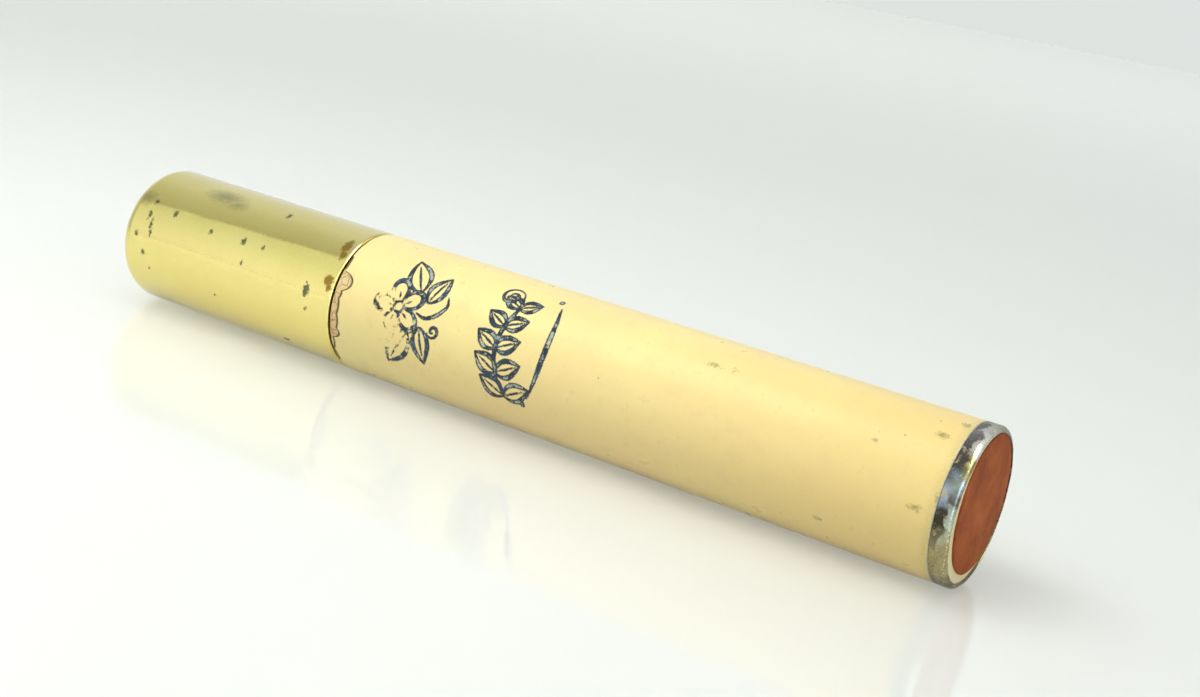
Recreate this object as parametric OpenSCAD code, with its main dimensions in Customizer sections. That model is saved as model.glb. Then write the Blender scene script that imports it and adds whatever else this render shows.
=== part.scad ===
// Pocket case for a colour stick: a lacquered barrel with a drawn brass cap.
// Turning the collar in the barrel's mouth drives the stick up or down.
// The case lies on its side: its axis is along X, with the cap at -X and the base at +X.
// Every module is drawn upright, with the base at z = 0, and lay_down() places it.

/* [Case] */
// Outside diameter of the barrel and the cap
case_d = 13; // [12.6:0.1:15]
// Whole length, cap on
case_len = 86; // [86:0.5:96]
// Length of the cap
cap_len = 26.8; // [26.8:0.1:30]
// Thickness of the barrel and cap walls
wall = 0.4; // [0.3:0.05:0.5]
// Open line between the cap's rim and the barrel's mouth
cap_gap = 0.25; // [0.1:0.05:0.4]
// Radius of the cap's rounded closed end
cap_round = 1.2; // [0.6:0.1:2.5]

/* [Base] */
// Height of the plated rim that shows below the lacquer
rim_h = 1.4; // [1.2:0.1:2]
// Width of the plated rim's lip around the recess
rim_lip = 0.5; // [0.5:0.05:0.8]
// Radius of the plated rim's rounded shoulder
rim_round = 0.4; // [0.2:0.05:0.45]
// Depth of the recess that holds the red disc
recess_h = 0.4; // [0.35:0.05:0.5]
// Height of the skirt pressed into the barrel
skirt_h = 5.6; // [4:0.1:5.8]

/* [Turning mechanism] */
// Height of the collar above the barrel's mouth
collar_out = 10; // [8:0.1:10]
// How far the stick rises
travel = 24; // [16:1:24]
// Rise of the stick for one turn of the collar
pitch = 16; // [14:1:20]
// Diameter of the two lugs that ride in the slots
lug_d = 1.2; // [1:0.1:1.4]
// Running clearance between parts that turn or slide in each other
play = 0.1; // [0.06:0.01:0.1]
// Clearance of the cap's lining on the collar
cap_play = 0.08; // [0.04:0.01:0.1]

/* [Stick] */
// Diameter of the colour stick
stick_d = 9; // [8:0.1:9]
// Depth of the lowered stick's tip below the collar's mouth
tip_depth = 8.7; // [8.7:0.1:12]
// Slope of the stick's cut tip, from flat
tip_slope = 38; // [20:1:45]

/* [Hidden] */
$fn = 96;
eps = 0.01;

case_r = case_d / 2;
bore_r = case_r - wall;
mouth_z = case_len - cap_len;

// Base: the card lines the recess, and the red disc is glued on it a little off centre
recess_r = case_r - rim_lip;
disc_h = 0.18;
disc_margin = 0.35;
disc_sink = 0.04;
disc_shift = [0.24, 0.1];

// Tube walls, from the barrel's bore inwards
spiral_wall = 0.55;
spiral_r = bore_r - spiral_wall;
guide_r = spiral_r - play;
guide_wall = 0.35;
guide_bore_r = guide_r - guide_wall;
cup_r = guide_bore_r - play;
collar_wall = 0.3;
collar_r = guide_r + collar_wall;
liner_r = collar_r + cap_play;

// Heights of the mechanism, from the base up
guide_z = rim_h + skirt_h + 1;
brake_z = guide_z + 0.9;
brake_wire_r = 0.26;
ring_z = guide_z + 1.5;
ring_h = 0.9;
spiral_z = ring_z + ring_h + play;
washer_h = 0.35;
washer_z = mouth_z - 3.6;
collar_z = washer_z + washer_h + 0.05;
collar_top = mouth_z + collar_out;
lip_h = 0.3;
mouth_ring_h = 2.6;
mouth_ring_drop = 0.05;

// Cap lining: a sleeve that grips the collar with four pressed dimples
liner_z = mouth_z + 0.3;
liner_h = 12.5;
dimple_count = 4;
dimple_ball_r = 1.5;
dimple_h = 0.05;
dimple_z = 6;

// Carriage: a cup that holds the stick, with its lugs low on the wall
cup_h = 14;
cup_floor = 0.6;
lug_up = 2.2;
tip_z = collar_top - tip_depth;
lug_top_z = washer_z - 1.6;
lug_z = lug_top_z - travel;
cup_z = lug_z - lug_up;
lug_r = lug_d / 2;
lug_end_r = bore_r - 0.15;
slot_half = lug_r + play;
slot_h = travel + 2 * slot_half;

// Half of the angle that a slanted slot of this width takes at the sleeve's middle radius
spiral_mid_r = (spiral_r + bore_r) / 2;
slot_slope = atan(pitch / (360 * spiral_mid_r * PI / 180));
slot_angle = slot_half / sin(slot_slope) / spiral_mid_r * 180 / PI;
slices_per_turn = 60;

function arc(cx, cz, r, from, to, steps = 12) =
    [for (i = [0:steps]) let (a = from + (to - from) * i / steps) [cx + r * cos(a), cz + r * sin(a)]];

module lay_down()
    translate([case_len / 2, 0, case_r]) rotate([0, -90, 0]) children();

module tube(z, h, outer, inner)
    translate([0, 0, z]) difference() {
        cylinder(h = h, r = outer);
        translate([0, 0, -eps]) cylinder(h = h + 2 * eps, r = inner);
    }

// Drawn brass cap: flat end with a rounded edge, and an eased open rim
module cap_shell() {
    ease = wall * 0.6;
    rim_z = mouth_z + cap_gap;
    inner_round = cap_round - wall;
    outside = concat(
        arc(case_r - ease, rim_z + ease, ease, -90, 0, 6),
        arc(case_r - cap_round, case_len - cap_round, cap_round, 0, 90));
    inside = concat(
        arc(bore_r - inner_round, case_len - wall - inner_round, inner_round, 90, 0),
        [[bore_r, rim_z]]);
    color("#E3D78A") lay_down() rotate_extrude()
        polygon(concat(outside, [[0, case_len], [0, case_len - wall]], inside));
}

// Thin sleeve pressed into the cap
module cap_liner()
    color("#C9B35F") lay_down() {
        tube(liner_z, liner_h, bore_r, liner_r);
        for (i = [0:dimple_count - 1]) rotate([0, 0, 45 + i * 360 / dimple_count])
            intersection() {
                tube(liner_z, liner_h, liner_r + eps, collar_r);
                translate([liner_r - dimple_h + dimple_ball_r, 0, liner_z + dimple_z])
                    sphere(r = dimple_ball_r);
            }
    }

// Lacquered barrel, its two ends eased
module barrel_shell() {
    ease = wall * 0.3;
    color("#F3DFA2") lay_down() rotate_extrude() polygon(concat(
        [[bore_r, rim_h], [case_r - ease, rim_h]],
        [[case_r, rim_h + ease]],
        arc(case_r - ease, mouth_z - ease, ease, 0, 90, 6),
        [[bore_r, mouth_z]]));
}

// Ring pressed into the barrel's mouth, around the collar
module mouth_ring()
    color("#B99B4A") lay_down()
        tube(mouth_z - mouth_ring_h - mouth_ring_drop, mouth_ring_h, bore_r, liner_r);

// Felt ring between the spiral sleeve and the collar
module top_washer()
    color("#8C7B66") lay_down()
        tube(washer_z, washer_h, bore_r, guide_r + cap_play);

// Fixed sleeve with two slanted slots, pressed into the barrel
module spiral_sleeve() {
    turn = 360 / pitch;
    slices = ceil(slices_per_turn * slot_h / pitch);
    near = spiral_r - 0.5;
    far = bore_r + 0.5;
    color("#C2A24F") lay_down() difference() {
        tube(spiral_z, washer_z - spiral_z, bore_r, spiral_r);
        for (side = [0, 180]) rotate([0, 0, side - turn * slot_half])
            translate([0, 0, lug_z - slot_half])
                linear_extrude(height = slot_h, twist = -turn * slot_h, slices = slices, $fn = 4)
                    polygon([for (p = [[near, -1], [far, -1], [far, 1], [near, 1]])
                        [p[0] * cos(slot_angle), p[1] * p[0] * sin(slot_angle)]]);
    }
}

// Turning tube with two straight slots
module guide_tube()
    color("#CDB06A") lay_down() difference() {
        tube(guide_z, collar_top - lip_h - guide_z, guide_r, guide_bore_r);
        translate([0, 0, lug_z + travel / 2])
            cube([4 * case_r, 2 * slot_half, slot_h], center = true);
    }

// Collar pressed on the guide tube, its lip turned in over the tube's end
module collar() {
    bend = lip_h * 0.9;
    color("#DCC878") lay_down() rotate_extrude() polygon(concat(
        [[guide_r, collar_z], [collar_r, collar_z]],
        arc(collar_r - bend, collar_top - bend, bend, 0, 90, 6),
        [[guide_bore_r, collar_top], [guide_bore_r, collar_top - lip_h], [guide_r, collar_top - lip_h]]));
}

// Ring fixed on the guide tube under the spiral sleeve, so the tube can't pull out
module retainer_ring()
    color("#A98C45") lay_down()
        tube(ring_z, ring_h, bore_r - 0.15, guide_r);

// Split ring of spring wire that keeps the collar from turning by itself
module brake_spring()
    color("#8F9499") lay_down() translate([0, 0, brake_z]) rotate([0, 0, 20])
        rotate_extrude(angle = 320) translate([guide_r + brake_wire_r + 0.02, 0])
            circle(r = brake_wire_r, $fn = 32);

// Cup that carries the stick, with holes for its lugs
module carriage_cup()
    color("#C9A95A") lay_down() difference() {
        translate([0, 0, cup_z]) cylinder(h = cup_h, r = cup_r);
        translate([0, 0, cup_z + cup_floor]) cylinder(h = cup_h, r = stick_d / 2);
        translate([0, 0, lug_z]) rotate([0, 90, 0])
            cylinder(h = 4 * case_r, r = lug_r, center = true, $fn = 48);
    }

// Two lugs through the straight slots into the slanted ones
module cup_lugs()
    color("#B08F45") lay_down() translate([0, 0, lug_z])
        for (side = [0, 180]) rotate([0, 0, side]) rotate([0, 90, 0])
            translate([0, 0, stick_d / 2]) cylinder(h = lug_end_r - stick_d / 2, r = lug_r, $fn = 48);

// Moulded colour stick, cut to a slope at the tip
module colour_stick() {
    bottom = cup_z + cup_floor;
    color("#A4472C") lay_down() difference() {
        translate([0, 0, bottom]) cylinder(h = tip_z - bottom, r = stick_d / 2);
        rotate([0, 0, 135]) translate([-stick_d / 2 + 0.6, 0, tip_z]) rotate([0, tip_slope, 0])
            translate([0, -stick_d, 0]) cube([3 * stick_d, 2 * stick_d, stick_d]);
    }
}

// Plated base cup: rounded rim, shallow recess, and a skirt inside the barrel
module base_cap() {
    floor_top = recess_h + wall;
    skirt_top = rim_h + skirt_h;
    color("#8E9195") lay_down() rotate_extrude() polygon(concat(
        [[0, recess_h], [recess_r, recess_h], [recess_r, 0]],
        arc(case_r - rim_round, rim_round, rim_round, -90, 0, 8),
        [[case_r, rim_h], [bore_r, rim_h], [bore_r, skirt_top], [bore_r - wall, skirt_top]],
        [[bore_r - wall, floor_top], [0, floor_top]]));
}

// Card that fills the recess under the red disc
module backing_card()
    color("#E9DDB6") lay_down() translate([0, 0, disc_sink + disc_h])
        cylinder(h = recess_h - disc_sink - disc_h, r = recess_r);

// Brick-red disc that shows the stick's colour
module shade_disc()
    color("#A4502E") lay_down() translate([disc_shift[0], disc_shift[1], disc_sink])
        cylinder(h = disc_h, r = recess_r - disc_margin);

cap_shell();
cap_liner();
barrel_shell();
mouth_ring();
top_washer();
spiral_sleeve();
guide_tube();
collar();
retainer_ring();
brake_spring();
carriage_cup();
cup_lugs();
colour_stick();
base_cap();
backing_card();
shade_disc();
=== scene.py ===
# %% [markdown]
# # A propelling stick case, lacquered and worn
#
# This lesson finishes a slim pocket case: a cream lacquered barrel, a drawn brass cap, a plated rim and a
# brick-red disc in the base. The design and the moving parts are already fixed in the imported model. What is
# made here is what the eye sees: thin metal that isn't quite true, lacquer that has chipped where the cap
# rubs it, a print that fingers have worn away, and brass that has spotted with age.

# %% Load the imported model
import math

import bpy
import numpy as np
from mathutils import Matrix, Vector


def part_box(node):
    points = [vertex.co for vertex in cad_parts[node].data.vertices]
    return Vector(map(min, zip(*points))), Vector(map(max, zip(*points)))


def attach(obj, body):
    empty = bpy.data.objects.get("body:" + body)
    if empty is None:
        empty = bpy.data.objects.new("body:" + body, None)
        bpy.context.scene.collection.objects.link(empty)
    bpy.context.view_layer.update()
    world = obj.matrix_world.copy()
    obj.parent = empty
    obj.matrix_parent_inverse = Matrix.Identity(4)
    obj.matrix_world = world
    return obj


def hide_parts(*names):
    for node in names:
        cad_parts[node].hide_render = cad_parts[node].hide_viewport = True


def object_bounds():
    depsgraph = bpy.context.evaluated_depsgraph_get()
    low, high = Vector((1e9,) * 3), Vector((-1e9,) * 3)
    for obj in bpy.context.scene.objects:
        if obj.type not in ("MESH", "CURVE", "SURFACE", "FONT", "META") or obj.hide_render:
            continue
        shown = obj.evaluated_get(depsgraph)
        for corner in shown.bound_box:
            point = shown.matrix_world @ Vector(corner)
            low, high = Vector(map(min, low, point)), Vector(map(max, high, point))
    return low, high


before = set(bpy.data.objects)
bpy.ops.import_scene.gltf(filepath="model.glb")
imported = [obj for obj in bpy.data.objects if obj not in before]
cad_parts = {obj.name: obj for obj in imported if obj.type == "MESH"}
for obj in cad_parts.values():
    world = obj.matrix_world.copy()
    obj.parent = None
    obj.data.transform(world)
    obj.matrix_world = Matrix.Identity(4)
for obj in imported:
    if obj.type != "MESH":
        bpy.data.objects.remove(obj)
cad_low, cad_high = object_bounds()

MM = 0.001
print("packed model, mm:", [round(v / MM, 2) for v in cad_high - cad_low])


def put(name, data):
    """Makes an object with this data and puts it in the scene."""
    thing = bpy.data.objects.new(name, data)
    bpy.context.scene.collection.objects.link(thing)
    return thing


# %% [markdown]
# ## Sizes that come from the model
#
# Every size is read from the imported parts, so that a change there carries over. The case lies along X with
# its cap at -X. A place on its skin is given by two numbers: x along the case, and an angle round it that is
# 0 at the front, which faces -Y, and 90 degrees on top.

# %% Read the sizes
cap_low, cap_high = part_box("cap_shell")
barrel_low, barrel_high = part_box("barrel_shell")
rim_low, rim_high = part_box("base_cap")
disc_low, disc_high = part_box("shade_disc")
stick_low, stick_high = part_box("colour_stick")

case_r = (barrel_high.z - barrel_low.z) / 2
axis_z = (barrel_high.z + barrel_low.z) / 2
mouth_x = barrel_low.x
rim_x = barrel_high.x
wall = 0.4 * MM
skin_r = case_r - 0.02 * MM   # the finished skins lie a little inside, so that their dents stay in the box
axis_gap = 0.05 * MM          # closed ends are drawn to this far from the axis, then brought onto it
columns_round = 288           # columns round the pieces that are seen from close by
FAR = 9.0                     # the distance in mm that is stored where no mark is near
print("radius %.2f mm, mouth at x %.2f mm, plated rim from %.2f mm" % (case_r / MM, mouth_x / MM, rim_x / MM))


# %% [markdown]
# ## The camera and the plain studio
#
# A long lens from the base end, a little above the case and slightly tilted, shows the disc, the print and
# the cap in one look. The floor is a plain pale gloss board that gives a faint reflection. A wide soft box in
# front draws one broad bright band along the brass, and the dimmer room above it gives the darker band on
# top: brass has no colour of its own to show, only what it mirrors.

# %% Camera
look_at = Vector((7.97 * MM, 0, 9.05 * MM))
camera_turn, camera_rise, camera_tilt = (math.radians(d) for d in (29.55, 13.34, 10.82))
camera_distance = 143.4 * MM

back = Vector((math.sin(camera_turn) * math.cos(camera_rise),
               -math.cos(camera_turn) * math.cos(camera_rise),
               math.sin(camera_rise)))
right = (-back).cross(Vector((0, 0, 1))).normalized()
upward = back.cross(right)
tilted_right = right * math.cos(camera_tilt) + upward * math.sin(camera_tilt)
tilted_up = upward * math.cos(camera_tilt) - right * math.sin(camera_tilt)

camera = put("camera", bpy.data.cameras.new("camera"))
camera.matrix_world = Matrix.Translation(look_at + back * camera_distance) @ Matrix(
    (tilted_right, tilted_up, back)).transposed().to_4x4()
camera.data.lens = 50.67
camera.data.sensor_width = 36
camera.data.clip_start = 5 * MM
bpy.context.scene.camera = camera
bpy.context.scene.view_settings.view_transform = "Standard"
print("camera at, mm:", [round(v / MM, 1) for v in camera.matrix_world.translation])


# %% A function that adds a node, and one that reads a colour
def add(tree, kind, inputs=None, out=0, stops=None, **settings):
    """Adds a node and returns its first output, or the one that out names. With None for out, and where it
    has no outputs, it returns the node. inputs gives sockets, by name or number, a value, a link or an sRGB
    colour. stops are a ramp's (place, sRGB colour), and settings are the node's own properties."""
    node = tree.nodes.new(kind)
    for name, value in settings.items():
        setattr(node, name, value)
    for key, value in (inputs or {}).items():
        if isinstance(value, bpy.types.NodeSocket):
            tree.links.new(value, node.inputs[key])
        else:
            node.inputs[key].default_value = hexa(value) if isinstance(value, str) else value
    if stops:
        points = node.color_ramp.elements
        while len(points) < len(stops):
            points.new(1)
        for point, (where, colour) in zip(points, stops):
            point.position = where
            point.color = hexa(colour)
    return node if out is None or not node.outputs else node.outputs[out]


def hexa(code):
    """An sRGB colour such as F3DFA2, as the linear colour that a shader needs."""
    parts = [int(code[i:i + 2], 16) / 255 for i in (0, 2, 4)]
    return [c / 12.92 if c <= 0.04045 else ((c + 0.055) / 1.055) ** 2.4 for c in parts] + [1]


def per_mm(size):
    """The scale that gives a texture features of about this size in millimetres."""
    return 1 / (size * MM)


def new_material(name):
    material = bpy.data.materials.new(name)
    material.use_nodes = True
    material.node_tree.nodes.clear()
    return material, material.node_tree


def finish_material(tree, inputs, **settings):
    """Gives the material a surface with these inputs."""
    shader = add(tree, "ShaderNodeBsdfPrincipled", inputs, **settings)
    add(tree, "ShaderNodeOutputMaterial", {"Surface": shader})


# %% Floor and lights
board, tree = new_material("pale_gloss_board")
# The board glows a little for the eye, and bounces less light up at the case than it would by itself.
path = add(tree, "ShaderNodeLightPath", out=None).outputs
tint = add(tree, "ShaderNodeMix", {
    0: path["Is Diffuse Ray"], 6: "E3E5E2", 7: "C0C2BF"}, out=2, data_type="RGBA")
glow = add(tree, "ShaderNodeMapRange", {0: path["Is Camera Ray"], 3: 0.05, 4: 0.125})
finish_material(tree, {
    "Base Color": tint, "Roughness": 0.09, "IOR": 1.5, "Subsurface Weight": 1.0,
    "Subsurface Radius": (1, 1, 1), "Subsurface Scale": 30 * MM, "Emission Color": "FFFFFA",
    "Emission Strength": glow}, subsurface_method="BURLEY")

floor_mesh = bpy.data.meshes.new("floor")
floor_half = 4.0
floor_corners = [(x * floor_half, y * floor_half, 0) for x, y in ((-1, -1), (1, -1), (1, 1), (-1, 1))]
floor_mesh.from_pydata(floor_corners, [], [(0, 1, 2, 3)])
floor_mesh.materials.append(board)
floor = put("floor", floor_mesh)

# The room is one big soft box with a straight edge, and dimmer walls beyond it. side is below zero within
# the box and says how far beyond its edge a direction lies; height is how far up it looks.
room = bpy.data.worlds.new("studio_room")
room.use_nodes = True
tree = room.node_tree
tree.nodes.clear()
way = add(tree, "ShaderNodeTexCoord", out="Generated")
side = add(tree, "ShaderNodeVectorMath", {0: way, 1: (-0.602, 0.771, -0.206)},
           operation="DOT_PRODUCT", out="Value")
height = add(tree, "ShaderNodeSeparateXYZ", {0: way}, out="Z")
box_light = add(tree, "ShaderNodeValToRGB", {0: height}, stops=[
    (0.0, "FAFAFA"), (0.25, "F3F5F2"), (0.44, "E8EEE6"), (0.60, "DDE3D9"),
    (0.76, "D6DBD0")])
wall_light = add(tree, "ShaderNodeValToRGB", {0: side}, stops=[
    (0.0, "AEB1A5"), (0.06, "BDC0B7"), (0.30, "CACECA"), (0.52, "D8DEE0"),
    (0.78, "DEE2E2"), (0.96, "E0E4E0")])
# The soft box is brighter towards the middle of the case than towards the cap's end.
reach = add(tree, "ShaderNodeSeparateXYZ", {0: way}, out="X")
reach = add(tree, "ShaderNodeMapRange", {0: reach, 1: -0.70, 2: -0.60, 3: 1.0, 4: 1.22})
box_light = add(tree, "ShaderNodeVectorMath", {0: box_light, "Scale": reach}, operation="SCALE")
beyond = add(tree, "ShaderNodeMapRange", {0: side, 1: -0.006, 2: 0.006})
light = add(tree, "ShaderNodeMix", {0: beyond, 6: box_light, 7: wall_light}, out=2, data_type="RGBA")
# What is mirrored shows the room as it is. As soft light it counts for less, so that the top light leads.
soft = add(tree, "ShaderNodeLightPath", out="Is Diffuse Ray")
strength = add(tree, "ShaderNodeMapRange", {0: soft, 3: 1.0, 4: 0.55})
glow = add(tree, "ShaderNodeBackground", {"Color": light, "Strength": strength})
add(tree, "ShaderNodeOutputWorld", {"Surface": glow})
bpy.context.scene.world = room


def soft_box(name, where, aim, width, height, radiance, mirrored=True, lights=True):
    """A rectangular light of that brightness. One that isn't mirrored lights the case but doesn't show in
    it, and one that doesn't light it only shows in what is polished."""
    data = bpy.data.lights.new(name, "AREA")
    data.shape = "RECTANGLE"
    data.size = width
    data.size_y = height
    data.energy = radiance * math.pi * width * height
    light = put(name, data)
    light.location = where
    light.rotation_euler = (Vector(aim) - Vector(where)).to_track_quat("-Z", "Y").to_euler()
    light.visible_glossy = mirrored
    light.visible_diffuse = lights


base_end = Vector((cad_high.x, 0, axis_z))
soft_box("top_box", (-0.09, -0.09, 0.23), (0.005, 0, 0), 0.17, 0.14, 7.0, mirrored=False)
light_away = 0.5   # metres from the base
soft_box("end_panel", base_end + light_away * Vector((0.85, -0.48, 0.22)), base_end, 0.26, 0.34, 2.4)
soft_box("end_window", base_end + light_away * Vector((0.60, 0.03, 0.80)), base_end, 0.14, 0.66, 10.0,
         lights=False)

# %% [markdown]
# ## Turned shells
#
# The cap, the barrel, the rim, the disc and the stick are all round, so one Geometry Nodes tree makes them
# all: it wraps a grid round the axis, and reads from an outline how far out each row lies. It can crowd its
# columns towards the front, where the print and the chips need them, and it can push the skin in and out a
# little, because thin drawn metal is never quite true.

# %% The tree that turns an outline into a shell
def turning_tree():
    tree = bpy.data.node_groups.new("turned_shell", "GeometryNodeTree")
    for name, kind, value in (
            ("Outline", "NodeSocketObject", None), ("Columns", "NodeSocketInt", 256),
            ("Axis height", "NodeSocketFloat", axis_z), ("Front", "NodeSocketFloat", 20.0),
            ("Crowding", "NodeSocketFloat", 0.0), ("Dent depth", "NodeSocketFloat", 0.0),
            ("Dent size", "NodeSocketFloat", 9 * MM), ("Seed", "NodeSocketFloat", 1.0),
            ("Material", "NodeSocketMaterial", None)):
        socket = tree.interface.new_socket(name, in_out="INPUT", socket_type=kind)
        if value is not None:
            socket.default_value = value
    tree.interface.new_socket("Geometry", in_out="OUTPUT", socket_type="NodeSocketGeometry")
    given = add(tree, "NodeGroupInput", out=None).outputs

    outline = add(tree, "GeometryNodeObjectInfo", {"Object": given["Outline"]}, out="Geometry")
    rows = add(tree, "GeometryNodeAttributeDomainSize", {0: outline}, out="Point Count")
    columns = add(tree, "ShaderNodeMath", {0: given["Columns"], 1: 1}, operation="ADD")
    grid = add(tree, "GeometryNodeMeshGrid", {
        "Size X": 1.0, "Size Y": 1.0, "Vertices X": columns, "Vertices Y": rows}, out="Mesh")

    place = add(tree, "GeometryNodeInputPosition")
    at = add(tree, "ShaderNodeSeparateXYZ", {0: place}, out=None).outputs
    last_row = add(tree, "ShaderNodeMath", {0: rows, 1: 1}, operation="SUBTRACT")
    row = at["Y"]
    for operation, number in (("ADD", 0.5), ("MULTIPLY", last_row), ("ROUND", 0.5)):
        row = add(tree, "ShaderNodeMath", {0: row, 1: number}, operation=operation)
    point = add(tree, "GeometryNodeSampleIndex", {
        "Geometry": outline, "Value": place, "Index": row}, data_type="FLOAT_VECTOR")
    point = add(tree, "ShaderNodeSeparateXYZ", {0: point}, out=None).outputs

    # The angle runs evenly round, less a wave that crowds the columns where it is steepest.
    turn = add(tree, "ShaderNodeMath", {0: at["X"], 1: math.tau}, operation="MULTIPLY")
    wave = add(tree, "ShaderNodeMath", {0: turn}, operation="SINE")
    wave = add(tree, "ShaderNodeMath", {0: wave, 1: given["Crowding"]}, operation="MULTIPLY")
    front = add(tree, "ShaderNodeMath", {0: given["Front"]}, operation="RADIANS")
    turn = add(tree, "ShaderNodeMath", {0: turn, 1: wave}, operation="SUBTRACT")
    turn = add(tree, "ShaderNodeMath", {0: turn, 1: front}, operation="ADD")
    cosine, sine = (add(tree, "ShaderNodeMath", {0: turn}, operation=wanted) for wanted in ("COSINE", "SINE"))
    inward = add(tree, "ShaderNodeMath", {0: point["Y"], 1: -1.0}, operation="MULTIPLY")
    y = add(tree, "ShaderNodeMath", {0: inward, 1: cosine}, operation="MULTIPLY")
    z = add(tree, "ShaderNodeMath", {
        0: point["Y"], 1: sine, 2: given["Axis height"]}, operation="MULTIPLY_ADD")
    wrapped = add(tree, "ShaderNodeCombineXYZ", {0: point["X"], 1: y, 2: z})
    shell = add(tree, "GeometryNodeSetPosition", {"Geometry": grid, "Position": wrapped})
    shell = add(tree, "GeometryNodeMergeByDistance", {"Geometry": shell, "Distance": 1e-6})

    # Shallow dents push the skin along its normal, by noise of a chosen size.
    normal = add(tree, "GeometryNodeInputNormal")
    scale = add(tree, "ShaderNodeMath", {0: 1.0, 1: given["Dent size"]}, operation="DIVIDE")
    dents = add(tree, "ShaderNodeTexNoise", {
        "Vector": place, "W": given["Seed"], "Scale": scale, "Detail": 1.0},
        noise_dimensions="4D")
    dents = add(tree, "ShaderNodeMapRange", {
        0: dents, 1: 0.2, 2: 0.8, 3: -1.0, 4: 1.0}, interpolation_type="SMOOTHERSTEP")
    dents = add(tree, "ShaderNodeMath", {0: dents, 1: given["Dent depth"]}, operation="MULTIPLY")
    push = add(tree, "ShaderNodeVectorMath", {0: normal, "Scale": dents}, operation="SCALE")
    shell = add(tree, "GeometryNodeSetPosition", {"Geometry": shell, "Offset": push})
    shell = add(tree, "GeometryNodeSetShadeSmooth", {"Geometry": shell})
    shell = add(tree, "GeometryNodeRealizeInstances", {"Geometry": shell})
    shell = add(tree, "GeometryNodeSetMaterial", {
        "Geometry": shell, "Material": given["Material"]})
    add(tree, "NodeGroupOutput", {0: shell})
    return tree


turned_shell = turning_tree()
print("turned_shell has", len(turned_shell.nodes), "nodes")


# %% [markdown]
# ## Outlines
#
# An outline is a short list of corners (x, radius). Each corner gets a small arc, because a real drawn or
# turned edge is never sharp, and the long straight stretches get extra points where the skin will be dented
# or chipped.

# %% Round an outline's corners and space its points
def outline(corners, spacing, ends_on_axis=False):
    """corners are (x, radius, rounding or 0, finer spacing or None for the stretch that follows)."""
    made = []
    count = len(corners)
    for i, (x, r, rounding, _) in enumerate(corners):
        here = np.array([x, r])
        if not rounding:
            made.append([here])
            continue
        before = np.array(corners[i - 1][:2])
        after = np.array(corners[(i + 1) % count][:2])
        inward = (before - here) / np.linalg.norm(before - here)
        onward = (after - here) / np.linalg.norm(after - here)
        angle = math.acos(max(-1, min(1, float(inward @ onward))))
        reach = rounding / math.tan(angle / 2)
        middle = here + (inward + onward) / np.linalg.norm(inward + onward) * (
            rounding / math.sin(angle / 2))
        start = here + inward * reach
        end = here + onward * reach
        a = math.atan2(*(start - middle)[::-1])
        sweep = (math.atan2(*(end - middle)[::-1]) - a + math.pi) % math.tau - math.pi
        steps = max(3, round(abs(sweep) * rounding / spacing * 2.5) + 3)
        made.append([middle + rounding * np.array([math.cos(a + sweep * k / steps),
                                                   math.sin(a + sweep * k / steps)])
                     for k in range(steps + 1)])
    points = []
    for i, arc in enumerate(made):
        points += arc
        if ends_on_axis and i == count - 1:
            break
        start, end = arc[-1], made[(i + 1) % count][0]
        length = np.linalg.norm(end - start)
        step = corners[i][3] or spacing
        hold = min(0.04 * MM, length / 4)   # a point close to each arc keeps the flat stretch flat
        inner = max(1, round((length - 2 * hold) / step))
        along = np.concatenate([[hold], hold + (length - 2 * hold) * np.arange(1, inner) / inner,
                                [length - hold]])
        points += [start + (end - start) * s / length for s in along]
    if not ends_on_axis:
        points.append(points[0])
    return points


def onto_axis(points):
    """Brings the points beside the axis onto it, so that the shell is closed there."""
    return [(x, 0.0 if r < 2 * axis_gap else r) for x, r in points]


def turn_piece(name, points, material, columns=columns_round, front=20.0, crowding=0.0, dent=0.0,
               dent_size=9 * MM, seed=1.0):
    """Runs the tree on an outline and returns the finished plain mesh object."""
    line = bpy.data.meshes.new(name + "_outline")
    line.from_pydata([(p[0], p[1], 0) for p in points], [(i, i + 1) for i in range(len(points) - 1)], [])
    line_object = put(name + "_outline", line)
    worker = put(name + "_worker", bpy.data.meshes.new(name + "_worker"))
    modifier = worker.modifiers.new("turn", "NODES")
    modifier.node_group = turned_shell
    values = {"Outline": line_object, "Columns": columns, "Axis height": axis_z, "Front": front,
              "Crowding": crowding, "Dent depth": dent, "Dent size": dent_size, "Seed": seed,
              "Material": material}
    for item in turned_shell.interface.items_tree:
        if item.in_out == "INPUT":
            modifier[item.identifier] = values[item.name]
    bpy.context.view_layer.update()
    graph = bpy.context.evaluated_depsgraph_get()
    mesh = bpy.data.meshes.new_from_object(worker.evaluated_get(graph))
    mesh.name = name
    if signed_volume(mesh) < 0:
        mesh.flip_normals()
    for leftover in (worker, line_object):
        bpy.data.objects.remove(leftover)
    print("%s: %d faces, %.1f mm3" % (name, len(mesh.polygons), signed_volume(mesh) / MM ** 3))
    return put(name, mesh)


def signed_volume(mesh):
    """The volume inside a closed mesh, below zero if its faces point inwards."""
    mesh.calc_loop_triangles()
    triangles = positions(mesh)[np.array([t.vertices for t in mesh.loop_triangles])]
    return float(np.einsum("ij,ij->i", triangles[:, 0], np.cross(triangles[:, 1], triangles[:, 2])).sum() / 6)


def skin_places(mesh):
    """x, the angle round the case in degrees and the distance from the axis of each vertex, x and distance
    in millimetres."""
    at = positions(mesh) / MM
    y, z = -at[:, 1], at[:, 2] - axis_z / MM
    return at[:, 0], np.degrees(np.arctan2(z, y)), np.hypot(y, z)


def positions(mesh):
    """Where every vertex is, in metres."""
    return np.array([v.co for v in mesh.vertices])


def move(mesh, places):
    """Puts every vertex in its new place."""
    mesh.vertices.foreach_set("co", places.astype(np.float32).ravel())
    mesh.update()


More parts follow.
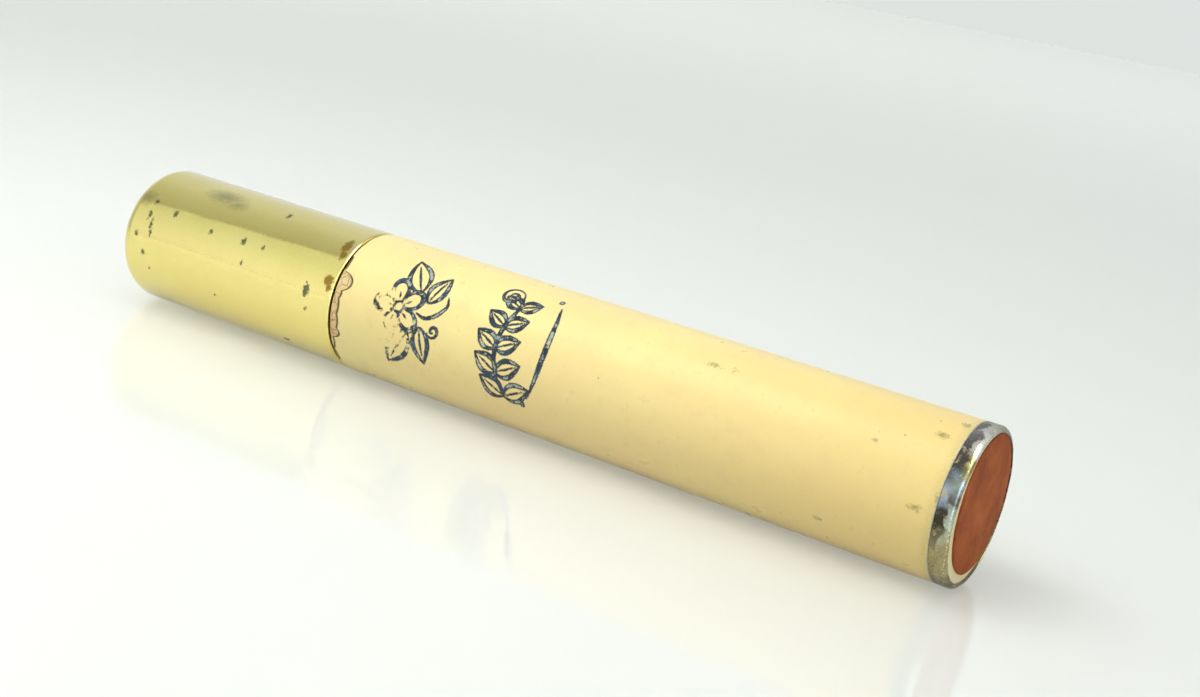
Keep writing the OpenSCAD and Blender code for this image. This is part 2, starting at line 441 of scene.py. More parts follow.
def store(mesh, name, values):
    """Keeps one number for each vertex, for a material to read."""
    mesh.attributes.new(name, "FLOAT", "POINT").data.foreach_set("value", values.astype(np.float32))


def spot_gap(x, degrees, spots):
    """How far in mm each place is outside the nearest spot. A spot is (x, angle, half length along the case,
    half length round it), and its lengths are in mm."""
    nearest = np.full(len(x), FAR)
    for spot_x, spot_angle, along, round_it in spots:
        turned = (degrees - spot_angle + 180) % 360 - 180
        share = np.hypot((x - spot_x) / along, np.radians(turned) * case_r / MM / round_it)
        nearest = np.minimum(nearest, (share - 1) * min(along, round_it))
    return nearest


# %% [markdown]
# ## Steps that the finishes share
#
# Every finish is built in the same few steps: a plain colour, layers over it where a noise or a number
# stored on the mesh says so, small dots in the cells of a web, and stacked bumps. One function for each
# step keeps the recipes short.

# %% What the finishes share
def layer(tree, colour, gap, clear, full, amount, tint):
    """Lays a tint over a colour: none where gap reads clear, this amount where it reads full. Returns the new
    colour and the mask."""
    mask = add(tree, "ShaderNodeMapRange", {0: gap, 1: clear, 2: full, 3: 0.0, 4: amount})
    return add(tree, "ShaderNodeMix", {0: mask, 6: colour, 7: tint}, out=2, data_type="RGBA"), mask


def ragged(tree, attribute, noise, amount):
    """A number that is stored on the mesh, plus some noise."""
    stored = add(tree, "ShaderNodeAttribute", out="Fac", attribute_name=attribute)
    return add(tree, "ShaderNodeMath", {0: noise, 1: amount, 2: stored}, operation="MULTIPLY_ADD")


def specked(tree, colour, here, spacing, rare, width, edge, amount, tint):
    """Puts a dot in each cell of a web whose random number is above rare. The higher the number, the wider
    the dot, up to width, which is a share of the cells' spacing in mm. edge is how its rim softens."""
    cells = add(tree, "ShaderNodeTexVoronoi", {"Vector": here, "Scale": per_mm(spacing)}, out=None).outputs
    number = add(tree, "ShaderNodeSeparateColor", {0: cells["Color"]})
    size = add(tree, "ShaderNodeMapRange", {0: number, 1: rare, 2: 1.0, 3: 0.0, 4: width})
    dot = add(tree, "ShaderNodeMath", {0: size, 1: cells["Distance"]}, operation="SUBTRACT")
    return layer(tree, colour, dot, *edge, amount, tint)[0]


def bumped(tree, *reliefs):
    """Stacks bumps made from (height, strength, depth in mm), and returns the normal."""
    normal = {}
    for height, strength, depth in reliefs:
        normal = {"Normal": add(tree, "ShaderNodeBump", {
            "Height": height, "Strength": strength, "Distance": depth * MM, **normal})}
    return normal["Normal"]


# %% [markdown]
# ## Gold-lacquered brass
#
# The cap is drawn brass, polished and then coated with a clear gold lacquer that has gone slightly green
# with age. It is a metal, so its colour is the colour of its mirror image. Where the lacquer has failed,
# moisture has bitten the brass: grey-green spots a few tenths of a millimetre wide, soft smudges, and
# olive-brown burns beside the open rim. How far each point of the skin is from the nearest mark is a number
# stored on the mesh, and fine noise breaks up the marks' edges.

# %% Brass under gold lacquer
def brass_material(name, pale, deep, roughness, spotted):
    material, tree = new_material(name)
    here = add(tree, "ShaderNodeTexCoord", out="Object")
    # Drawing lines run along the case, so their texture is stretched along it.
    stretched = add(tree, "ShaderNodeMapping", {"Vector": here, "Scale": (0.03, 1.0, 1.0)})
    cloud, lines, mist = (add(tree, "ShaderNodeTexNoise", {
        "Vector": where, "Scale": per_mm(size), "Detail": detail, "Roughness": break_up})
        for where, size, detail, break_up in (
            (here, 7, 4.0, 0.6), (stretched, 0.22, 3.0, 0.7), (here, 0.35, 3.0, 0.5)))
    tone = add(tree, "ShaderNodeMath", {0: cloud, 1: 0.75}, operation="MULTIPLY")
    tone = add(tree, "ShaderNodeMath", {0: mist, 1: 0.25, 2: tone}, operation="MULTIPLY_ADD")
    colour, _ = layer(tree, pale, tone, 0.35, 0.65, 1.0, deep)
    rough = add(tree, "ShaderNodeMapRange", {
        0: mist, 1: 0.3, 2: 0.7, 3: roughness - 0.04, 4: roughness + 0.06})
    normal = bumped(tree, (lines, 0.10, 0.01), (mist, 0.10, 0.02))
    if spotted:
        grain = add(tree, "ShaderNodeTexNoise", {
            "Vector": here, "Scale": per_mm(0.28), "Detail": 5.0, "Roughness": 0.75})
        shift = add(tree, "ShaderNodeMath", {0: grain, 1: 0.5}, operation="SUBTRACT")
        # Each kind of mark: its stored distance, how ragged its edge is, how soft, how strong, its colour
        for attribute, raggedness, soft, strength, tint, dullness in (
                ("smudge_gap", 1.6, 0.55, 0.62, "7F7A50", 0.34),
                ("spot_gap", 0.9, 0.07, 0.92, "5C5F42", 0.5),
                ("burn_gap", 1.0, 0.08, 0.96, "A07C1C", 0.42)):
            gap = ragged(tree, attribute, shift, raggedness)
            colour, mask = layer(tree, colour, gap, soft, -soft, strength, tint)
            rough = add(tree, "ShaderNodeMix", {0: mask, 2: rough, 3: dullness})
        # Pin-prick spots all over, in one cell out of six
        colour = specked(tree, colour, here, 1.9, 0.83, 0.075, (-0.01, 0.02), 0.7, "7A7748")
        finish_material(tree, {
            "Base Color": colour, "Metallic": 1.0, "Roughness": rough, "Normal": normal,
            "Coat Weight": 0.6, "Coat Roughness": 0.08})
        return material
    # Within 0.4 mm of the barrel's mouth the brass is painted nearly black, dull and not metallic:
    # painted shade for the deep, narrow gap of the joint.
    along = add(tree, "ShaderNodeSeparateXYZ", {0: here}, out="X")
    away = add(tree, "ShaderNodeMath", {0: along, 1: mouth_x}, operation="SUBTRACT")
    away = add(tree, "ShaderNodeMath", {0: away}, operation="ABSOLUTE")
    colour, joint_shade = layer(tree, colour, away, 0.42 * MM, 0.30 * MM, 0.96, "1E150D")
    rough = add(tree, "ShaderNodeMix", {0: joint_shade, 2: rough, 3: 0.8})
    unshaded = add(tree, "ShaderNodeMath", {0: 1.0, 1: joint_shade}, operation="SUBTRACT")
    finish_material(tree, {
        "Base Color": colour, "Metallic": unshaded, "Roughness": rough, "Normal": normal})
    return material


gold_brass = brass_material("gold_lacquered_brass", "F3E490", "EEDD86", 0.085, spotted=True)
collar_brass = brass_material("gold_lacquered_brass_plain", "F5E394", "E9D37D", 0.14, spotted=False)
drawn_brass = brass_material("drawn_brass", "E6CB7C", "CFAF5C", 0.24, spotted=False)

# %% [markdown]
# ## The drawn cap
#
# A cap like this is drawn from one disc of sheet, so its wall is even and its closed end meets the side in a
# soft radius. It is turned from its outline with very shallow dents, which bend the reflections a little as
# real sheet does.

# %% Cap
end_x = cap_low.x + case_r - skin_r
cap_points = onto_axis(outline([
    (cap_high.x, skin_r, 0.22 * MM, 0.16 * MM),
    (end_x, skin_r, 1.2 * MM, 0.16 * MM),
    (end_x, axis_gap, 0.02 * MM, None),
    (cap_low.x + wall, axis_gap, 0.02 * MM, 0.8 * MM),
    (cap_low.x + wall, case_r - wall, 0.8 * MM, 1.0 * MM),
    (cap_high.x, case_r - wall, 0.1 * MM, None)], 0.3 * MM))
brass_cap = turn_piece("brass_cap", cap_points, gold_brass, crowding=0.45, dent=0.012 * MM,
                       dent_size=8 * MM, seed=3.0)

cap_x, cap_angle, cap_radius = skin_places(brass_cap.data)
# Over the closed end the marks are placed by the distance along the skin, so that none runs to the middle.
cap_x = cap_x - (skin_r / MM - cap_radius)
open_rim = cap_high.x / MM
closed_end = cap_low.x / MM
store(brass_cap.data, "spot_gap", spot_gap(cap_x, cap_angle, [
    (open_rim - 2.9, 8, 0.34, 0.62), (open_rim - 2.6, -6.6, 0.14, 0.20), (open_rim - 9.3, 67, 0.26, 0.36),
    (open_rim - 9.15, 29, 0.16, 0.20), (open_rim - 11.6, 29, 0.28, 0.36), (open_rim - 10.9, 12, 0.13, 0.16),
    (open_rim - 15.7, 28, 0.24, 0.26), (closed_end + 5.9, 33, 0.26, 0.36), (closed_end + 3.0, 25, 0.20, 0.46),
    (closed_end + 3.6, 18, 0.16, 0.46), (closed_end + 3.8, 10.7, 0.14, 0.34),
    (closed_end + 2.1, 7, 0.20, 0.24), (closed_end + 3.2, -7, 0.20, 0.30),
    (closed_end + 4.0, -20, 0.14, 0.18), (open_rim - 14.0, -24, 0.14, 0.12), (closed_end + 3.0, 38, 0.2, 0.3),
    (open_rim - 6.0, -48, 0.34, 0.2), (open_rim - 12.0, 150, 0.3, 0.5), (closed_end + 6.0, 190, 0.4, 0.3)]))
store(brass_cap.data, "smudge_gap", spot_gap(cap_x, cap_angle, [
    (closed_end + 9.4, 66, 1.7, 0.8), (closed_end + 11.4, 60, 0.7, 0.4), (closed_end + 1.6, 39, 0.7, 0.55),
    (open_rim - 8.0, 175, 2.2, 1.0), (closed_end + 4.0, -60, 2.5, 0.5), (open_rim - 5.0, -62, 3.0, 0.4)]))
store(brass_cap.data, "burn_gap", spot_gap(cap_x, cap_angle, [
    (open_rim - 1.0, 54, 0.45, 0.80), (open_rim - 0.7, 45, 0.35, 0.5), (open_rim - 0.75, 21, 0.52, 0.50),
    (open_rim - 0.5, 16, 0.3, 0.4), (open_rim - 0.9, 140, 0.4, 0.5)]))
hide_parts("cap_shell")
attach(brass_cap, "cap")

# %% [markdown]
# ## The printed ornament
#
# Two small marks are printed across the barrel in blue-black ink, upright when the cap is up: a
# five-petalled flower among leaves, and below it a leafy sprig over a bowed line. They are drawn as strokes
# on a flat sheet whose u runs to the right, round the case, and v runs up, towards the cap. Curls are
# spirals by formula, petals and leaves are simple curves, and a stroke swells in the middle as one from a
# flexible nib does.

# %% Strokes for the flower and the sprig
def spiral(middle_u, middle_v, inner, outer, start, turns, steps=40):
    """A curl that opens from its middle outwards. start is in degrees, and turns below zero run clockwise."""
    made = []
    for i in range(steps + 1):
        share = i / steps
        angle = math.radians(start) + math.tau * turns * share
        radius = inner + (outer - inner) * share ** 0.8
        made.append((middle_u + radius * math.cos(angle), middle_v + radius * math.sin(angle)))
    return made


def flowing(points, steps=10):
    """A smooth curve through the given points."""
    p = [np.array(q) for q in [points[0], *points, points[-1]]]
    made = []
    for i in range(1, len(p) - 2):
        for k in range(steps):
            t = k / steps
            made.append(tuple(0.5 * (2 * p[i] + (p[i + 1] - p[i - 1]) * t
                        + (2 * p[i - 1] - 5 * p[i] + 4 * p[i + 1] - p[i + 2]) * t ** 2
                        + (3 * p[i] - p[i - 1] - 3 * p[i + 1] + p[i + 2]) * t ** 3)))
    return made + [tuple(points[-1])]


def leaf(root, tip, bulge):
    """Two sides and a middle rib of a pointed leaf."""
    root, tip = np.array(root), np.array(tip)
    across = np.array([root[1] - tip[1], tip[0] - root[0]]) * bulge
    sides = []
    for side in (1, -1):
        sides.append([tuple(root + (tip - root) * t + across * side * math.sin(math.pi * t ** 0.8))
                      for t in np.linspace(0, 1, 24)])
    rib = [tuple(root + (tip - root) * t) for t in np.linspace(0.05, 0.8, 10)]
    return sides, rib


def flower_strokes():
    """Petals round a ring, with four leaves and a curl. Each stroke is (points, half width at its ends, half
    width in its middle), in mm."""
    made = []
    petals, middle = 5, np.array([0.25, 0.75])
    for turn in range(petals):
        lean = math.tau * turn / petals + math.pi / 2
        petal = []
        for t in np.linspace(0, 1, 28):
            swing = (t - 0.5) * 1.16
            reach = 0.75 + 1.75 * math.sin(math.pi * t) ** 0.55
            petal.append(tuple(middle + reach * np.array([math.cos(lean + swing), math.sin(lean + swing)])))
        made.append((petal, 0.14, 0.22))
        stamen = [tuple(middle + r * np.array([math.cos(lean), math.sin(lean)])) for r in (0.75, 1.05, 1.35)]
        made.append((stamen, 0.05, 0.09))
    made.append((spiral(*middle, 0.48, 0.5, 0, 1.0, 24), 0.11, 0.11))
    for root, tip, bulge in (((-1.6, -0.8), (-5.0, 1.2), 0.26), ((2.0, -0.8), (5.2, 1.4), -0.26),
                             ((-0.9, -1.9), (-4.0, -2.9), 0.24), ((1.3, -1.9), (4.3, -2.8), -0.24)):
        sides, rib = leaf(root, tip, bulge)
        made += [(side, 0.09, 0.20) for side in sides]
        made.append((rib, 0.06, 0.10))
    made.append((flowing([(0.2, -1.2), (0.0, -2.2), (0.5, -3.2), (1.5, -3.9), (2.4, -3.6)]), 0.07, 0.17))
    made.append((spiral(-0.9, -3.4, 0.12, 0.62, 200, -1.25, 24), 0.07, 0.13))
    return made


def sprig_strokes():
    """A leafy sprig with a curled end, and below it a bowed line with a dot at each end."""
    stem = [(-4.9, -0.9), (-3.0, 0.1), (-1.0, 0.6), (1.0, 0.5), (3.0, 0.1), (4.4, 0.5)]
    made = [(flowing(stem), 0.09, 0.19), (spiral(4.0, 1.5, 0.18, 1.08, 90, -1.42), 0.07, 0.14)]
    for i, (u, v) in enumerate(stem[:-1]):
        size = 1.0 - 0.07 * i
        for side in (1, -1):
            sides, rib = leaf((u, v), (u + 1.25 * size, v + 2.5 * side * size), 0.27)
            made += [(edge, 0.10, 0.19) for edge in sides]
            made.append((rib, 0.05, 0.09))
    made.append((flowing([(-4.4, -3.3), (-2.4, -3.9), (0.0, -4.1), (2.4, -3.9), (4.4, -3.3)]), 0.05, 0.22))
    for u in (-5.1, 5.1):
        made.append(([(u - 0.05, -2.9), (u, -2.85), (u + 0.05, -2.9)], 0.20, 0.22))
    return made


# Each mark is (strokes, x in mm of its middle, angle of its middle).
MARKS = ((flower_strokes(), mouth_x / MM + 7.9, 17.0), (sprig_strokes(), mouth_x / MM + 18.4, 22.0))
SHEET_U, SHEET_V = 7.0, 5.5   # half the width and height of a mark's sheet in mm
PRESSED = 1.3                 # how much wider a stroke's middle prints than it was drawn


def ink_gap(x, degrees, strokes, middle_x, middle_angle):
    """How far in mm each place is outside the nearest stroke. It is below zero in the ink."""
    u = np.radians(degrees - middle_angle) * case_r / MM
    v = middle_x - x
    nearest = np.full(len(x), FAR)
    close = np.flatnonzero((np.abs(u) < SHEET_U) & (np.abs(v) < SHEET_V))
    for points, end_half, middle_half in strokes:
        points = np.array(points)
        swell = np.sin(np.pi * np.linspace(0, 1, len(points)))
        halves = end_half + (middle_half * PRESSED - end_half) * swell
        for a, b, half_a, half_b in zip(points[:-1], points[1:], halves[:-1], halves[1:]):
            along = b - a
            share = ((u[close] - a[0]) * along[0] + (v[close] - a[1]) * along[1]) / max(along @ along, 1e-9)
            share = np.clip(share, 0, 1)
            away = np.hypot(u[close] - a[0] - share * along[0], v[close] - a[1] - share * along[1])
            nearest[close] = np.minimum(nearest[close], away - half_a - (half_b - half_a) * share)
    return nearest


print("ornament:", [len(m[0]) for m in MARKS], "strokes")

# %% [markdown]
# ## Cream lacquer on brass
#
# The barrel wears a baked cream lacquer, satin rather than glossy, whose colour is darker and deeper yellow
# towards the base. Dust baked into it shows as tiny dark specks. At the mouth, where the cap knocks it, it
# has flaked off in scallops down to a pinkish undercoat, each with a thin dark edge where dirt has crept
# under. At the base it is stained and ragged beside the plated rim. The print is part of this skin: its ink
# is thin, so it follows the lacquer, and rubbing has taken the high middle of its strokes first.

# %% Lacquer, print and chips
def lacquer_material():
    material, tree = new_material("cream_baked_lacquer")
    here = add(tree, "ShaderNodeTexCoord", out="Object")
    cloud, mottle, fine, patches = (add(tree, "ShaderNodeTexNoise", {
        "Vector": here, "Scale": per_mm(size), "Detail": detail, "Roughness": break_up})
        for size, detail, break_up in (
            (11, 3.0, 0.55), (1.4, 5.0, 0.65), (0.22, 4.0, 0.7), (0.75, 5.0, 0.72)))
    shift = add(tree, "ShaderNodeMath", {0: fine, 1: 0.5}, operation="SUBTRACT")

    # The lacquer is darker and deeper yellow towards the base, and grime has settled in patches.
    cream = add(tree, "ShaderNodeValToRGB", {0: cloud}, stops=[
        (0.32, "F8E69C"), (0.5, "F7E099"), (0.68, "F7DC99")])
    along = add(tree, "ShaderNodeSeparateXYZ", {0: here}, out="X")
    colour, _ = layer(tree, cream, along, rim_x - 28 * MM, rim_x, 0.75, "F2D488")
    colour, _ = layer(tree, colour, mottle, 0.52, 0.78, 0.32, "E2C88A")
    # Baked-in dust is a dark dot in some of the cells.
    colour = specked(tree, colour, here, 1.7, 0.78, 0.055, (-0.012, 0.016), 0.75, "7C5A2C")

    # Smudges, then a dull halo and a bare edge beside the plated rim, as (stored distance, raggedness, ...)
    for attribute, raggedness, clear, full, amount, tint in (
            ("stain_gap", 1.1, 0.16, -0.12, 0.72, "7E7A50"), ("rim_gap", 1.4, 0.9, 0.0, 0.45, "BFB27E"),
            ("rim_gap", 0.3, 0.13, 0.05, 0.9, "A9AFA6")):
        gap = ragged(tree, attribute, shift, raggedness)
        colour, edge = layer(tree, colour, gap, clear, full, amount, tint)

    # Ink: a ragged edge, then what rubbing has left of it, and a paler middle where a stroke is broad
    gap = ragged(tree, "ink_gap", shift, 0.22)
    ink = add(tree, "ShaderNodeMapRange", {0: gap, 1: 0.035, 2: -0.035})
    rubbed = ragged(tree, "print_wear", patches, 1.0)
    left = add(tree, "ShaderNodeMapRange", {0: rubbed, 1: 0.68, 2: 0.60})
    ink = add(tree, "ShaderNodeMath", {0: ink, 1: left}, operation="MULTIPLY")
    gap = ragged(tree, "ink_gap", shift, 0.35)
    pale = add(tree, "ShaderNodeMapRange", {0: gap, 1: -0.10, 2: -0.15})
    broken = add(tree, "ShaderNodeMapRange", {0: patches, 1: 0.49, 2: 0.57, 3: 0.0, 4: 0.8})
    pale = add(tree, "ShaderNodeMath", {0: pale, 1: broken}, operation="MULTIPLY")
    ink_tone = add(tree, "ShaderNodeValToRGB", {0: mottle}, stops=[
        (0.35, "0C1420"), (0.52, "14263A"), (0.72, "23506E")])
    ink_tone = add(tree, "ShaderNodeMix", {0: pale, 6: ink_tone, 7: "B9C4B4"}, out=2, data_type="RGBA")
    colour = add(tree, "ShaderNodeMix", {0: ink, 6: colour, 7: ink_tone}, out=2, data_type="RGBA")

    # Chips: cracked undercoat inside, and a thin dark line where they end
    gap = ragged(tree, "chip_gap", shift, 0.16)
    undercoat = add(tree, "ShaderNodeValToRGB", {0: mottle}, stops=[
        (0.35, "D2B07C"), (0.55, "E3C68E"), (0.75, "ECD49C")])
    colour, chip = layer(tree, colour, gap, 0.02, -0.02, 1.0, undercoat)
    line = add(tree, "ShaderNodeMath", {0: gap}, operation="ABSOLUTE")
    line = add(tree, "ShaderNodeMapRange", {0: line, 1: 0.19, 2: 0.08, 3: 0.0, 4: 0.95})
    cracks = add(tree, "ShaderNodeTexVoronoi", {
        "Vector": here, "Scale": per_mm(0.8)}, out="Distance", feature="DISTANCE_TO_EDGE")
    cracks = add(tree, "ShaderNodeMapRange", {0: cracks, 1: 0.05, 2: 0.0, 3: 0.0, 4: 0.8})
    cracks = add(tree, "ShaderNodeMath", {0: cracks, 1: chip}, operation="MULTIPLY")
    line = add(tree, "ShaderNodeMath", {0: line, 1: cracks}, operation="MAXIMUM")
    colour = add(tree, "ShaderNodeMix", {0: line, 6: colour, 7: "4E381E"}, out=2, data_type="RGBA")

    rough = add(tree, "ShaderNodeMapRange", {0: mottle, 1: 0.3, 2: 0.7, 3: 0.26, 4: 0.36})
    for mask, dullness in ((ink, 0.42), (chip, 0.62), (edge, 0.5)):
        rough = add(tree, "ShaderNodeMix", {0: mask, 2: rough, 3: dullness})
    normal = bumped(tree, (mottle, 0.25, 0.03), (ink, 0.4, 0.012), (line, 0.6, -0.02))
    finish_material(tree, {
        "Base Color": colour, "Roughness": rough, "IOR": 1.5, "Normal": normal, "Coat Weight": 0.15,
        "Coat Roughness": 0.25})
    return material


# %% Barrel
cream_lacquer = lacquer_material()
print_reach = 23 * MM   # the print and the chips need close rows this far from the mouth
barrel_points = outline([
    (rim_x, skin_r, 0.12 * MM, 0.4 * MM),
    (mouth_x + print_reach, skin_r, 0, 0.14 * MM),
    (mouth_x, skin_r, 0.10 * MM, None),
    (mouth_x, case_r - wall, 0.06 * MM, 4 * MM),
    (rim_x, case_r - wall, 0.05 * MM, None)], 0.2 * MM)
lacquered_barrel = turn_piece("lacquered_barrel", barrel_points, cream_lacquer, front=24.0, crowding=0.5,
                              dent=0.006 * MM, dent_size=12 * MM, seed=8.0)

# Scallops broken out of the mouth's edge: (angle, half width in degrees, how far from the mouth in mm)
NO_CHIP = -0.12   # in mm, where the lacquer is whole
CHIPS = ((24, 8.5, 1.50), (14, 6, 0.80), (3, 12, 0.82), (-9, 11, 0.92), (-18, 5.5, 1.12), (-27, 8, 0.42),
         (-42, 8, 0.28), (40, 7, 0.18), (118, 10, 0.7), (131, 6, 0.4), (205, 7, 0.8), (-118, 9, 0.5))


def chip_reach(degrees):
    """How far from the mouth the lacquer is gone, in mm, at each angle."""
    reach = np.full(len(degrees), NO_CHIP)
    for angle, half, depth in CHIPS:
        turned = np.abs((degrees - angle + 180) % 360 - 180) / half
        bite = depth * np.sqrt(np.maximum(0, 1 - turned ** 2))
        reach = np.maximum(reach, np.where(turned < 1, bite, NO_CHIP))
    return reach


barrel_x, barrel_angle, barrel_radius = skin_places(lacquered_barrel.data)
gap_to_chip = barrel_x - mouth_x / MM - chip_reach(barrel_angle)
outside = barrel_radius > (case_r - wall / 2) / MM
gap_to_ink = np.minimum(*(ink_gap(barrel_x, barrel_angle, *mark) for mark in MARKS))
gap_to_chip[~outside] = FAR
store(lacquered_barrel.data, "chip_gap", gap_to_chip)
store(lacquered_barrel.data, "ink_gap", np.where(outside, gap_to_ink, FAR))
store(lacquered_barrel.data, "rim_gap", np.where(outside, rim_x / MM - barrel_x, FAR))

# The print is almost gone where fingers hold it: the flower's lower left, and less so elsewhere.
wear = np.full(len(barrel_x), -0.03)
for x, angle, along, round_it, amount in (
        (mouth_x / MM + 6.4, -2, 2.8, 2.9, 0.25), (mouth_x / MM + 17.6, -10, 1.2, 1.4, 0.08),
        (mouth_x / MM + 5.0, 28, 1.5, 1.8, 0.16)):
    turned = np.radians((barrel_angle - angle + 180) % 360 - 180) * case_r / MM
    wear += amount * np.exp(-((barrel_x - x) / along) ** 2 - (turned / round_it) ** 2)
store(lacquered_barrel.data, "print_wear", wear)

rim_mm = rim_x / MM
store(lacquered_barrel.data, "stain_gap", spot_gap(barrel_x, barrel_angle, [
    (rim_mm - 1.7, 57, 0.40, 0.24), (rim_mm - 1.6, 3, 0.32, 0.18), (rim_mm - 0.1, 13, 0.2, 0.3),
    (rim_mm - 6.1, 37, 0.14, 0.12), (rim_mm - 21.0, 54, 0.40, 0.14), (rim_mm - 19.1, 55, 0.14, 0.22),
    (rim_mm - 0.7, 75, 0.3, 0.3), (rim_mm - 9.0, -30, 0.2, 0.12), (rim_mm - 30, 165, 0.9, 0.3),
    (rim_mm - 12, 140, 0.5, 0.4), (rim_mm - 3, 200, 0.6, 0.4)]))

# The chips are real hollows: the skin drops by the lacquer's thickness inside them.
lacquer_depth = 0.07   # in mm, and so is the width of the slope at a chip's edge
chip_slope = 0.08
drop = np.clip(-gap_to_chip / chip_slope + 0.5, 0, 1) * lacquer_depth * outside
share = 1 - drop / barrel_radius
moved = positions(lacquered_barrel.data)
moved[:, 1] *= share
moved[:, 2] = axis_z + (moved[:, 2] - axis_z) * share
move(lacquered_barrel.data, moved)
print("barrel: %.1f%% of the print zone inked, %d vertices in chips"
      % (100 * np.mean(gap_to_ink[gap_to_ink < 3] < 0), int((drop > 0).sum())))
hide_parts("barrel_shell")
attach(lacquered_barrel, "barrel")

# %% [markdown]
# ## The worn plated rim
#
# The base is a small cup pressed from brass and nickel plated, and only its rounded rim shows. A long life
# standing on dressing tables has taken the plate off in patches: what is left is bright, and between it lie
# nearly black corrosion, blue-grey haze and khaki residue. On top of the shoulder a near-white patch is
# painted in as a highlight. Its skin is pitted too, so it gets much finer dents than the cap does.

# %% Worn nickel plate
def plate_material():
    material, tree = new_material("worn_nickel_plate")
    here = add(tree, "ShaderNodeTexCoord", out="Object")
    grain, blotch = (add(tree, "ShaderNodeTexNoise", {
        "Vector": here, "Scale": per_mm(size), "Detail": detail, "Roughness": break_up})
        for size, detail, break_up in ((0.18, 4.0, 0.7), (1.1, 3.0, 0.55)))
    wander = add(tree, "ShaderNodeMath", {0: blotch, 1: 0.5}, operation="SUBTRACT")
    # Round the side the patches follow one another by angle: each stop is (angle / 360 + 0.5, colour)
    turn = ragged(tree, "turn", wander, 0.07)
    # The shoulder's near-white stops at 0.65 and 0.70, from 54 to 72 degrees, are a painted highlight over
    # the plate.
    side, shoulder = (add(tree, "ShaderNodeValToRGB", {0: turn}, stops=stops) for stops in ((
        (0.0, "8E8764"), (0.08, "3A3640"), (0.16, "A0A6AE"), (0.24, "8E8660"), (0.335, "2B2730"),
        (0.37, "8F8763"), (0.43, "A79C70"), (0.468, "6B6558"), (0.485, "17141A"), (0.515, "17141A"),
        (0.53, "6F7D92"), (0.555, "AEBBCB"), (0.58, "7E8BA2"), (0.60, "35303C"), (0.65, "4C4654"),
        (0.70, "8B8A90"), (0.74, "2F2B36"), (0.82, "A39C7A"), (0.90, "55535C"), (1.0, "8E8764")), (
        (0.0, "4A4642"), (0.10, "A49B74"), (0.22, "6E6A68"), (0.33, "4E483C"), (0.38, "B5AA80"),
        (0.45, "A2986E"), (0.49, "B9C4B2"), (0.525, "8FA09C"), (0.545, "3B3B40"), (0.57, "93A3AA"),
        (0.60, "6E6A44"), (0.63, "8E8858"), (0.65, "D5D2CE"), (0.70, "DEDEDA"), (0.76, "8E8C80"),
        (0.86, "4A4850"), (1.0, "4A4642"))))
    metal, _ = layer(tree, side, ragged(tree, "ledge", wander, 1.6), 0.42, 0.58, 1.0, shoulder)
    crust = add(tree, "ShaderNodeTexNoise", {
        "Vector": here, "Scale": per_mm(0.8), "Detail": 4.0, "Roughness": 0.65, "W": 4.0},
        noise_dimensions="4D")
    residue = add(tree, "ShaderNodeMapRange", {0: crust, 1: 0.56, 2: 0.66, 3: 0.1, 4: 0.8})
    khaki = add(tree, "ShaderNodeMix", {0: grain, 6: "8D8355", 7: "D2C594"}, out=2, data_type="RGBA")
    colour = add(tree, "ShaderNodeMix", {0: residue, 6: metal, 7: khaki}, out=2, data_type="RGBA")
    bare = add(tree, "ShaderNodeMath", {0: 1.0, 1: residue}, operation="SUBTRACT")
    rough = add(tree, "ShaderNodeMapRange", {0: grain, 1: 0.3, 2: 0.7, 3: 0.12, 4: 0.3})
    rough = add(tree, "ShaderNodeMix", {0: residue, 2: rough, 3: 0.7})
    finish_material(tree, {
        "Base Color": colour, "Metallic": bare, "Roughness": rough,
        "Normal": bumped(tree, (grain, 0.3, 0.03), (residue, 0.6, 0.03))})
    return material


worn_plate = plate_material()

# %% Plated base cup
base_x = rim_high.x - 0.015 * MM   # room for the dents
skirt_x = rim_low.x
recess_r = case_r - 0.5 * MM
recess_x = rim_high.x - 0.4 * MM
rim_points = onto_axis(outline([
    (recess_x, axis_gap, 0.02 * MM, 1.0 * MM),
    (recess_x, recess_r, 0.03 * MM, 0.1 * MM),
    (base_x, recess_r, 0.04 * MM, 0.1 * MM),
    (base_x, skin_r, 0.43 * MM, 0.08 * MM),
    (rim_x, skin_r, 0.04 * MM, 0.2 * MM),
    (rim_x, case_r - wall, 0.04 * MM, 1.2 * MM),
    (skirt_x, case_r - wall, 0.08 * MM, None),
    (skirt_x, case_r - 2 * wall, 0.08 * MM, 1.2 * MM),
    (recess_x - wall, case_r - 2 * wall, 0.05 * MM, 1.0 * MM),
    (recess_x - wall, axis_gap, 0.02 * MM, None)], 0.12 * MM))
plated_rim = turn_piece("plated_rim", rim_points, worn_plate, dent=0.012 * MM, dent_size=0.8 * MM, seed=5.0)
rim_place, rim_angle, _ = skin_places(plated_rim.data)
store(plated_rim.data, "turn", rim_angle / 360 + 0.5)
store(plated_rim.data, "ledge", (rim_place - rim_x / MM) / ((base_x - rim_x) / MM))
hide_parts("base_cap")
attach(plated_rim, "barrel")

# %% [markdown]
# ## The shade disc
#
# The disc in the base tells the owner which colour is inside. It is coated card, punched a little off centre
# and glued down by hand, so a crescent of the pale card below it shows on one side. Its coating is uneven
# brick red with darker rubs.

